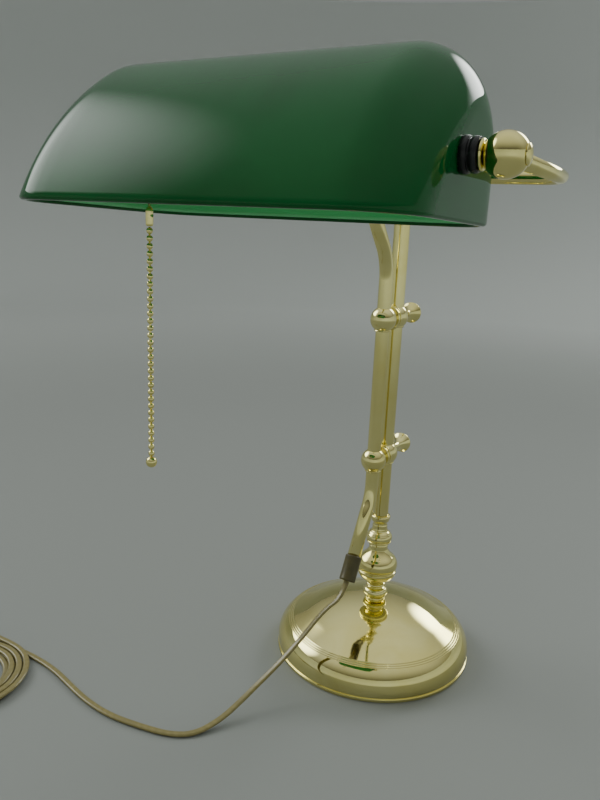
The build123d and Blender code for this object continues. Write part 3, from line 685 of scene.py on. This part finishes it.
class DESK_LAMP_OT_cord(LampOperator):
    """Flat gold flex from the sleeve to its coil and plug"""
    bl_idname = "desk_lamp.cord"
    bl_label = "Supply cord"

    def execute(self, context):
        sizes = context.scene.desk_lamp_sizes
        width, thick = sizes.flex_width / MM, sizes.flex_thick / MM
        floor = thick / 2 + 0.15
        sleeve_end = np.array((0.0, -61.33, 87.92))
        foot_way = np.array((0, -0.52250, -0.85264))
        run = [
            sleeve_end - 6 * foot_way, sleeve_end + 13 * foot_way, (-11, -76, 67),
            (-23.5, -91, 43.5), (-32.5, -106, 28.5), (-40, -121.5, 18), (-46, -140, 9.5),
            (-50.5, -158, 4.4), (-59, -177.5, floor), (-74, -187.5, floor), (-97.5, -192, floor),
            (-124, -195, floor), (-150, -192, floor), (-174, -185.5, floor), (-199, -178, floor),
            (-226, -174.5, floor),
        ]
        coil_x, coil_y, coil_r = -253.0, -224.5, 50.0
        pitch, layer, turns, climb = 5.7, 2.95, 2.75, 0.5
        turn = np.linspace(0, 2 * turns + climb, 24 * 6 + 1)
        wound = np.minimum(turn, turns) - np.maximum(0, turn - turns - climb)
        share = np.clip((turn - turns) / climb, 0, 1)
        radius = coil_r - pitch * wound - 0.12 * pitch * np.sin(math.pi * share)
        angle = math.pi / 2 + TURN * turn
        coil = np.stack((
            coil_x + radius * np.cos(angle), coil_y + radius * np.sin(angle),
            floor + layer * (1 - np.cos(math.pi * share)) / 2,
        ), 1)
        plug_y, plug_z = span("plug_body")[2][1:]
        top = coil[-1]
        tail = [
            top + (-19, 0, 0), (coil_x - 44, top[1] + 1.5, floor + 1.5),
            (coil_x - 64, top[1] - 1.5, floor + 0.8), (-340, plug_y, plug_z),
            (-354, plug_y, plug_z),
        ]
        route = np.vstack((np.array(run, float), coil, np.array(tail, float))) * MM
        curve = bpy.data.curves.new("flex_route", "CURVE")
        curve.dimensions = "3D"
        spline = curve.splines.new("NURBS")
        spline.points.add(len(route) - 1)
        spline.points.foreach_set("co", np.hstack((route, np.ones((len(route), 1)))).ravel())
        spline.order_u = 3
        spline.use_endpoint_u = True
        spline.resolution_u = 5
        guide = bpy.data.objects.new("flex_route", curve)
        context.scene.collection.objects.link(guide)
        context.view_layer.update()
        read = bpy.data.meshes.new_from_object(guide)
        path = np.zeros(3 * len(read.vertices))
        read.vertices.foreach_get("co", path)
        path = path.reshape(-1, 3)
        bpy.data.objects.remove(guide)
        bpy.data.meshes.remove(read)

        angle = np.linspace(0, TURN, 24, endpoint=False)
        waist = 1 - 0.22 * np.abs(np.sin(angle)) ** 6
        section = np.stack((width / 2 * np.cos(angle), thick / 2 * np.sin(angle) * waist), 1)
        section[:, 1] = np.sign(section[:, 1]) * np.minimum(np.abs(section[:, 1]) * 1.16, thick / 2)
        points, faces = sweep(path / MM, section, np.array(UP, float))
        along = np.concatenate(([0], np.cumsum(np.linalg.norm(np.diff(path, axis=0), axis=1))))
        i, j = np.meshgrid(np.arange(len(path) - 1), np.arange(len(section)), indexing="ij")
        u = np.stack((j, j + 1, j + 1, j), -1) / len(section)
        v = along[np.stack((i, i, i + 1, i + 1), -1)]
        cord = make("flex_cord", [(points, faces)], None, ["cord_run", "cord_coil", "cord_tail"],
                    [gold_flex()], uv=np.stack((u, v), -1).reshape(-1, 2))
        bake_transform(cord)
        dress_node("plug_body", black_plastic())
        dress_node("plug_pins", bright_steel())
        return {"FINISHED"}


class DESK_LAMP_OT_foot(LampOperator):
    """Spun brass foot with its lip, fine rings and dome, and what it holds"""
    bl_idname = "desk_lamp.foot"
    bl_label = "Foot"

    def execute(self, context):
        high = span("base_shell")[1]
        rim, top, wall = high[0], high[2], 1.7
        lip, lip_h, lip_ease = 0.4, 2.4, 0.5
        flange, flange_z, flange_swell = rim - 8.4, 24.6, 3.6
        step_w, step_h, step_flat, step_swell, step_count = 1.6, 0.8, 0.35, 0.12, 3
        seat_r, dome_swell = 9.5, 4.4

        def half(inset):
            lip_top = lip + lip_h - 0.5 * inset
            edge, z = flange - inset, flange_z - inset
            corners = [
                (rim - inset, lip + lip_ease), (rim - inset, lip_top), (rim - inset - 0.8, lip_top),
                (edge, z, flange_swell),
            ]
            for _ in range(step_count):
                corners.append((edge - step_flat * step_w, z))
                edge, z = edge - step_w, z + step_h
                corners.append((edge, z, step_swell))
            return corners + [(seat_r, top - inset, dome_swell), (ROD_BORE, top - inset)]

        def backwards(corners):
            ways = [corner[2] if len(corner) == 3 else 0 for corner in corners]
            turned_ways = [0] + [-way for way in ways[:0:-1]]
            return [(*corner[:2], way) for corner, way in zip(corners[::-1], turned_ways)]

        edge = [(rim - wall, lip), (rim - lip_ease, lip), (rim, lip + lip_ease, 0.15)]
        shell = edge + half(0.0)[1:] + backwards(half(wall))
        turned("base_shell", shell, (0, 0, 0), UP, polished_brass(), segments=256)
        dress_node("base_weight", cast_iron())
        dress_node("base_felt", green_felt())
        for node in ("base_washer", "base_nut", "tie_rod", "rod_keeper"):
            dress_node(node, bright_steel())
        return {"FINISHED"}


class DESK_LAMP_OT_column(LampOperator):
    """Five turned brass pieces between the foot and the post"""
    bl_idname = "desk_lamp.column"
    bl_label = "Column"

    def execute(self, context):
        pieces = {
            "column_foot": [(8.2, 0), (8.2, 1.6, 0.3)],
            "column_bead": [
                (6.4, 0), (6.4, 0.69), (8.75, 1.78, -0.4), (8.75, 8.22, 1.9), (6.2, 9.32, -0.3),
                (7.7, 10.41), (7.7, 12.88, 0.7), (6.4, 13.7),
            ],
            "column_vase": [
                (6.4, 0), (7.6, 1.73), (16.3, 9.32, 1.5), (16.3, 11.39, 0.15), (15.5, 11.9),
                (15.5, 12.77), (16.5, 13.28), (13.2, 24.84, 2.0), (8, 31.05, -0.5), (8, 34.5),
            ],
            "column_ring": [
                (8, 0), (7.6, 1.96, -0.2), (10.25, 2.8), (10.25, 4.06, 0.3), (9.35, 4.34),
                (9.35, 5.04), (10.65, 5.32), (9.65, 10.36, 0.8), (7.3, 12.6, 0.3), (6.7, 14, -0.2),
            ],
            "column_socket": [
                (6.7, 0), (6.3, 3.9, -0.2), (7.4, 8.06, -0.9), (8.3, 10.92), (7.6, 13, 0.3),
                (6.25, 13), (6.25, 8),
            ],
        }
        for node, corners in pieces.items():
            low = span(node)[0][2]
            corners = [(ROD_BORE, 0), *corners, (ROD_BORE, corners[-1][1])]
            turned(node, corners, (0, 0, low), UP, polished_brass(), segments=128)
        return {"FINISHED"}


class DESK_LAMP_OT_post(LampOperator):
    """Round brass post with its cap"""
    bl_idname = "desk_lamp.post"
    bl_label = "Post"

    def execute(self, context):
        radius, height = POST_HIGH[0], POST_HIGH[2] - POST_LOW[2]
        bore = radius - 1.2
        base = (0, 0, POST_LOW[2])
        wall = [(bore, 0), (radius, 0), (radius, height / 2), (radius, height), (bore, height)]
        turned("post_tube", wall, base, UP, polished_brass())
        cap = [
            (0, -8), (bore, -8), (bore, 0), (7.2, 0), (8, 1.8, 0.2), (6.4, 4.08, 0.4), (6.4, 5.04),
            (0, 12, 1.87),
        ]
        turned("post_cap", cap, (0, 0, POST_HIGH[2]), UP, polished_brass(), closed=False)
        dress_node("post_bush", plain_brass())
        return {"FINISHED"}


class DESK_LAMP_OT_arm(LampOperator):
    """Bent brass arm tube with the rubber sleeve at its lower end"""
    bl_idname = "desk_lamp.arm"
    bl_label = "Arm"

    def execute(self, context):
        lean, bend = math.radians(31.5), 36.0
        foot_way = np.array((0, -math.sin(lean), -math.cos(lean)))
        low = np.array((0, ARM_Y, CLAMP_Z["lower"] - 29.8))
        high = np.array((0, ARM_Y, CLAMP_Z["upper"] + 43.5))
        end = low + 62.5 * foot_way
        tip = HUB - 6 * (HUB - high) / np.linalg.norm(HUB - high)
        line = tube_line([end, low, high, tip], bend)
        arm = sweep(line, ring(ARM_R, 64), np.array((1.0, 0, 0)))
        make("arm_tube_skin", [arm], "arm", ["arm_tube"], [polished_brass()])
        start = end - 12 * foot_way
        sleeve = [
            (ARM_R, 0), (6.0, 0), (6.4, 1.2, 0.2), (6.35, 10), (6.4, 18.2), (5.7, 20, 0.35),
            (2.5, 20), (2.5, 12.2), (ARM_R, 12.0),
        ]
        turned("cord_sleeve", sleeve, start, foot_way, sleeve_rubber(),
               segments=64)
        return {"FINISHED"}


class DESK_LAMP_OT_clamps(LampOperator):
    """Two clamps: arm ball, double disc, post ball and dished thumb screw"""
    bl_idname = "desk_lamp.clamps"
    bl_label = "Clamps"

    def execute(self, context):
        brass = polished_brass()
        lip, disc_in = 0.9, 8.6
        for level, z in CLAMP_Z.items():
            for ball, y, bore in (("clamp_ball", ARM_Y, 5.32), ("post_ball", 0.0, 6.25)):
                edge = math.sqrt(BALL_R ** 2 - (bore + lip) ** 2)
                skin = ball_corners(BALL_R, -edge, math.sqrt(BALL_R ** 2 - bore ** 2))
                corners = [
                    (bore, -edge - lip), (bore + 0.5, -edge - 1.2), (bore + 1.2, -edge - 0.6, 0.2),
                    *skin,
                ]
                turned(f"{ball}_{level}", corners, (0, y, z), UP, brass)
            back, front = ARM_Y + disc_in, -disc_in
            discs = [
                (0, back), (5.1, back), (9.0, back + 0.7), (9.7, back + 1.5, 0.2),
                (9.1, back + 2.3, 0.2), (8.1, back + 2.5), (8.1, front - 2.5), (9.1, front - 2.3),
                (9.7, front - 1.5, 0.2), (9.0, front - 0.7, 0.2), (5.1, front), (0, front),
            ]
            turned(f"clamp_discs_{level}", discs, (0, 0, z), (0, 1, 0), brass, closed=False)
            knob = [
                (0, 6.5), (3, 6.5), (3, 10.3), (4.8, 10.3), (3.2, 14.7, -0.3), (3.0, 22.4),
                (8.2, 33.56, -1.3), (8.5, 34.4, 0.1), (7.8, 36.5, 0.2), (7.1, 36.4),
                (0, 35.2, -0.9),
            ]
            turned(f"thumb_screw_{level}", knob, (0, 0, z), (0, 1, 0), brass, closed=False)
        return {"FINISHED"}


class DESK_LAMP_OT_yoke(LampOperator):
    """Hub and the two bent tubes that reach round the shade"""
    bl_idname = "desk_lamp.yoke"
    bl_label = "Yoke"

    def execute(self, context):
        brass = polished_brass()
        bend, round_rise = 15.0, 2.929
        hub = [(0, -BALL_R), (BALL_R, 0, round_rise), (0, BALL_R, round_rise)]
        turned("yoke_hub", hub, HUB, (1, 0, 0), brass, closed=False)
        for side, hand in SIDES:
            corner = np.array((side * BALL_OUT, HUB[1], HUB[2]))
            ball = np.array((side * BALL_OUT, PIVOT[1], PIVOT[2]))
            line = tube_line([HUB + (side * 4.5, 0, 0), corner, ball + (0, 7, 0)], bend)
            tube = sweep(line, ring(YOKE_R, 56), np.array(UP, float))
            make(f"yoke_tube_{hand}_skin", [tube], "arm", [f"yoke_tube_{hand}"], [brass])
        return {"FINISHED"}


class DESK_LAMP_OT_pivots(LampOperator):
    """Balls, collars, caps and black bushes of the two shade pivots"""
    bl_idname = "desk_lamp.pivots"
    bl_label = "Pivots"

    def execute(self, context):
        brass = polished_brass()
        flat, bush_bore, neck = 9.0, PIN_R + 0.05, 4.0
        face = span("pivot_bush_right")[0][0] + neck
        ball = [(PIN_R, -flat), *ball_corners(BALL_R, -flat, flat), (PIN_R, flat)]
        collar = [(PIN_R, 0), (6.0, 0), (6.0, 1.7, 0.8), (PIN_R, 1.7)]
        cap = [(0, 0), (4.7, 0), (4.7, 0.5), (0, 1.8, 0.4)]
        bush = [
            (bush_bore, -neck), (BUSH_R, -neck), (BUSH_R, 0), (7.7, 0), (7.7, 3.4, 0.5), (6.8, 3.4),
            (6.8, 4.3), (7.3, 4.3), (7.3, 7.7, 0.5), (bush_bore, 7.7),
        ]
        for side, hand in SIDES:
            axis = (side, 0, 0)
            near = abs(span(f"pivot_collar_{hand}")[0 if side > 0 else 1][0])
            at_ball, at_collar, at_cap, at_bush = (
                (side * x, *PIVOT[1:]) for x in (BALL_OUT, near, BALL_OUT + flat, face)
            )
            turned(f"pivot_ball_{hand}", ball, at_ball, axis, brass)
            turned(f"pivot_collar_{hand}", collar, at_collar, axis, brass)
            turned(f"pivot_cap_{hand}", cap, at_cap, axis, brass, closed=False)
            turned(f"pivot_bush_{hand}", bush, at_bush, axis, black_plastic())
            dress_node(f"inner_washer_{hand}", black_plastic())
            dress_node(f"inner_nut_{hand}", plain_brass())
        dress_node("pivot_stud", bright_steel())
        dress_node("pivot_nipple", bright_steel())
        return {"FINISHED"}


class DESK_LAMP_OT_shade(LampOperator):
    """Cased glass shade with rounded ends, fire-polished rim and two pivot holes"""
    bl_idname = "desk_lamp.shade"
    bl_label = "Shade"

    def profile(self, inset, lip):
        """Cross-section moved in by inset: front arc, crest arc and rear wall, from the pivot."""
        front, rear, drop, front_r = 64.0, 78.0, 30.5, 154.5
        rim_front, rim_rear = -30.0, -25.2
        rim, top = math.radians(69.5), math.radians(34.0)
        arc_y, arc_z = -front + front_r * math.sin(rim), -drop - front_r * math.cos(rim)
        ends = inset - front, rear - inset
        low, high = np.interp(ends, (-front, rear), (rim_front, rim_rear)) + lip
        radius = front_r - inset
        angle = np.linspace(math.acos((low - arc_z) / radius), top, 34)
        face = np.stack((arc_y - radius * np.sin(angle), arc_z + radius * np.cos(angle)), 1)
        wall = rear - 1.0
        crest_r = (wall - (arc_y - front_r * math.sin(top))) / (1 + math.sin(top))
        centre = np.array((wall - crest_r, arc_z + (front_r - crest_r) * math.cos(top)))
        angle = np.linspace(-top, math.pi / 2, 44)[1:, None]
        crest = centre + (crest_r - inset) * np.hstack((np.sin(angle), np.cos(angle)))
        fall = np.linspace(0, 1, 14)[1:, None]
        back = crest[-1] + fall * (np.array((rear - inset, high)) - crest[-1])
        return np.vstack((face, crest, back))

    def execute(self, context):
        sizes = context.scene.desk_lamp_sizes
        wall, end_r, lip = sizes.shade_wall / MM, sizes.shade_end / MM, sizes.shade_lip / MM
        half = span("shade")[1][0]
        sweep_angle = np.linspace(math.pi / 2, 0, 17)
        patches, index, rims, holes = [], [], [], []
        for layer, inset in enumerate((0.0, wall)):
            reach, rounding = half - inset, end_r - inset
            end_x = reach - rounding * (1 - np.sin(sweep_angle))
            end_inset = inset + rounding * (1 - np.cos(sweep_angle))
            middle = np.linspace(-end_x[-1], end_x[-1], 22)[1:-1]
            stations = np.concatenate((-end_x, middle, end_x[::-1]))
            insets = np.concatenate((end_inset, np.full(len(middle), inset), end_inset[::-1]))
            sections = np.stack([self.profile(moved, lip) for moved in insets])
            skin = np.concatenate((
                np.broadcast_to(stations[:, None, None], (*sections.shape[:2], 1)), sections,
            ), 2)
            patches.append((skin.reshape(-1, 3), grid_faces(*skin.shape[:2])))
            index.append(layer)
            base = skin[-1][:, 1:]
            floor = base[-1] + np.linspace(0, 1, 16)[1:-1, None] * (base[0] - base[-1])
            loop = np.vstack((base, floor))
            hole = BUSH_R * loop / np.linalg.norm(loop, axis=1)[:, None]
            t = np.linspace(0, 1, 8)[:, None, None]
            face = hole + t * (loop - hole)
            for side in (1, -1):
                points = np.concatenate((np.full((*face.shape[:2], 1), side * reach), face), 2)
                patches.append((points.reshape(-1, 3), grid_faces(*face.shape[:2], False, True)))
                index.append(layer)
            right_edge = np.hstack((np.full((len(floor), 1), reach), floor[::-1]))
            left_edge = np.hstack((np.full((len(floor), 1), -reach), floor))
            rims.append(np.vstack((skin[:, 0], right_edge, skin[::-1, -1], left_edge)))
            holes.append([
                np.hstack((np.full((len(hole), 1), side * reach), hole)) for side in (1, -1)
            ])
        t = np.linspace(0, math.pi, 9)[:, None, None]
        outer, inner = rims
        across_rim = np.cos(t) * (outer - inner) / 2
        rim = (outer + inner) / 2 + across_rim - np.sin(t) * np.array((0, 0, lip))
        patches.append((rim.reshape(-1, 3), grid_faces(*rim.shape[:2], False, True)))
        index.append(0)
        for outer_hole, inner_hole in zip(*holes):
            bore = np.stack((outer_hole, inner_hole))
            patches.append((bore.reshape(-1, 3), grid_faces(*bore.shape[:2], False, True)))
            index.append(0)
        cos, sin = math.cos(math.radians(REST_TILT)), math.sin(math.radians(REST_TILT))
        turn = np.array(((1, 0, 0), (0, cos, -sin), (0, sin, cos)))
        patches = [(points @ turn.T + PIVOT, faces) for points, faces in patches]
        layers = np.repeat(index, [len(faces) for _, faces in patches])
        make("glass_shade", patches, "shade", ["shade"],
             [green_glass(), pale_glass()], material_index=layers)
        return {"FINISHED"}


class DESK_LAMP_OT_holder(LampOperator):
    """Lamp holder under the shade: cap, shell, insides and screw shell"""
    bl_idname = "desk_lamp.holder"
    bl_label = "Lamp holder"

    def execute(self, context):
        axis, place = (-1, 0, 0), (0, *PIVOT[1:])
        start, mouth = -span("holder_cap")[0][0], -span("holder_shell")[1][0]
        seam = -span("holder_shell")[0][0]
        cap = [
            (PIN_R, start), (9, start), (HOLDER_R, seam + 2, 2.0), (HOLDER_R, seam), (15.5, seam),
            (5, start - 9), (PIN_R, start - 8),
        ]
        turned("holder_cap", cap, place, axis, plain_brass())
        shell = [
            (17.5, mouth), (18.7, mouth), (HOLDER_R, mouth + 1.5, 0.3), (HOLDER_R, mouth + 12),
            (20.1, mouth + 13, 0.2), (HOLDER_R, mouth + 14, 0.2), (HOLDER_R, seam), (17.5, seam),
        ]
        turned("holder_shell", shell, place, axis, plain_brass())
        low, high, _ = span("holder_thread")
        angle = np.linspace(0, TURN, 72, endpoint=False)
        far = np.linspace(high[0], low[0], 45)
        pitch, depth = 3.6, 0.45
        wave = depth * np.cos(TURN * far[:, None] / pitch - angle[None])
        walls = []
        for radius, order in ((13.6, 1), (14.2, -1)):
            reach = radius + wave
            points = np.stack((
                np.broadcast_to(far[:, None], wave.shape), PIVOT[1] + reach * np.cos(angle),
                PIVOT[2] + reach * np.sin(angle),
            ), -1)
            walls.append(points[::order])
        sheet = np.concatenate(walls)
        patch = sheet.reshape(-1, 3), grid_faces(*sheet.shape[:2], True, True)
        make("holder_thread_skin", [patch], "arm", ["holder_thread"], [plain_brass()])
        dress_node("holder_switch", black_plastic())
        dress_node("holder_contact", black_plastic())
        dress_node("pull_guide", plain_brass())
        return {"FINISHED"}


class DESK_LAMP_OT_chain(LampOperator):
    """Pull link with its bell, bead chain and end ball"""
    bl_idname = "desk_lamp.chain"
    bl_label = "Pull chain"

    def execute(self, context):
        brass = polished_brass()
        low, high, _ = span("pull_link")
        bell = [
            (0, 0), (1.2, 0), (1.95, 1.1, 0.2), (1.95, 7.0, 0.1), (0.9, 9.6, 0.45),
            (0.65, 10, 0.05), (0.65, high[2] - low[2]), (0, high[2] - low[2]),
        ]
        turned("pull_link", bell, (*CHAIN[:2], low[2]), UP, brass, segments=40, closed=False)
        low, high, _ = span("pull_chain")
        radius = context.scene.desk_lamp_sizes.bead / MM / 2
        count = 32
        pitch = (high[2] - low[2]) / count
        mids = low[2] + pitch * (np.arange(count) + 0.5)
        latitude = np.linspace(-math.pi / 2, math.pi / 2, 13)
        angle = np.linspace(0, TURN, 20, endpoint=False)
        shell = np.stack(np.broadcast_arrays(
            CHAIN[0] + radius * np.cos(latitude)[:, None] * np.cos(angle),
            CHAIN[1] + radius * np.cos(latitude)[:, None] * np.sin(angle),
            radius * np.sin(latitude)[:, None] * np.ones_like(angle),
        ), -1)
        faces = grid_faces(*shell.shape[:2], False, True)
        patches = [(shell.reshape(-1, 3) + (0, 0, mid), faces) for mid in mids]
        wire_r = 0.5
        wire = np.array([(0, low[2]), (wire_r, low[2]), (wire_r, high[2]), (0, high[2])])
        patches.append(lathe(wire, (*CHAIN[:2], 0), UP, 12, False))
        make("pull_chain_skin", patches, "chain", ["pull_chain"], [brass])
        end_r = 3.1
        ball = [(0, -end_r), (end_r, 0, 0.908), (2.0, 2.37, 0.3), (1.2, 2.9), (0, 2.9)]
        middle = (*CHAIN[:2], span("chain_ball")[1][2] - end_r)
        turned("chain_ball", ball, middle, UP, brass, segments=48, closed=False)
        return {"FINISHED"}


class DESK_LAMP_PT_panel(bpy.types.Panel):
    """Sidebar panel that lists the lamp's steps and settings"""
    bl_idname = "DESK_LAMP_PT_panel"
    bl_label = "Desk lamp"
    bl_space_type = "VIEW_3D"
    bl_region_type = "UI"
    bl_category = "Desk lamp"

    def draw(self, context):
        for step in STEPS:
            self.layout.operator(f"desk_lamp.{step}")
        for settings in ("desk_lamp_sizes", "desk_lamp_finishes", "desk_lamp_stage"):
            group = getattr(context.scene, settings)
            for key in group.__annotations__:
                self.layout.prop(group, key)


STEPS = (
    "stage", "cord", "foot", "column", "post", "arm", "clamps", "yoke", "pivots", "shade", "holder",
    "chain",
)
CLASSES = (
    LampFinishes, LampSizes, LampStage, DESK_LAMP_OT_stage, DESK_LAMP_OT_cord, DESK_LAMP_OT_foot,
    DESK_LAMP_OT_column, DESK_LAMP_OT_post, DESK_LAMP_OT_arm, DESK_LAMP_OT_clamps,
    DESK_LAMP_OT_yoke, DESK_LAMP_OT_pivots, DESK_LAMP_OT_shade, DESK_LAMP_OT_holder,
    DESK_LAMP_OT_chain, DESK_LAMP_PT_panel,
)


def register():
    for cls in CLASSES:
        bpy.utils.register_class(cls)
    bpy.types.Scene.desk_lamp_finishes = PointerProperty(type=LampFinishes)
    bpy.types.Scene.desk_lamp_sizes = PointerProperty(type=LampSizes)
    bpy.types.Scene.desk_lamp_stage = PointerProperty(type=LampStage)


def unregister():
    del bpy.types.Scene.desk_lamp_finishes
    del bpy.types.Scene.desk_lamp_sizes
    del bpy.types.Scene.desk_lamp_stage
    for cls in reversed(CLASSES):
        bpy.utils.unregister_class(cls)


def main():
    register()
    for step in STEPS:
        getattr(bpy.ops.desk_lamp, step)()


if __name__ == "__main__":
    main()
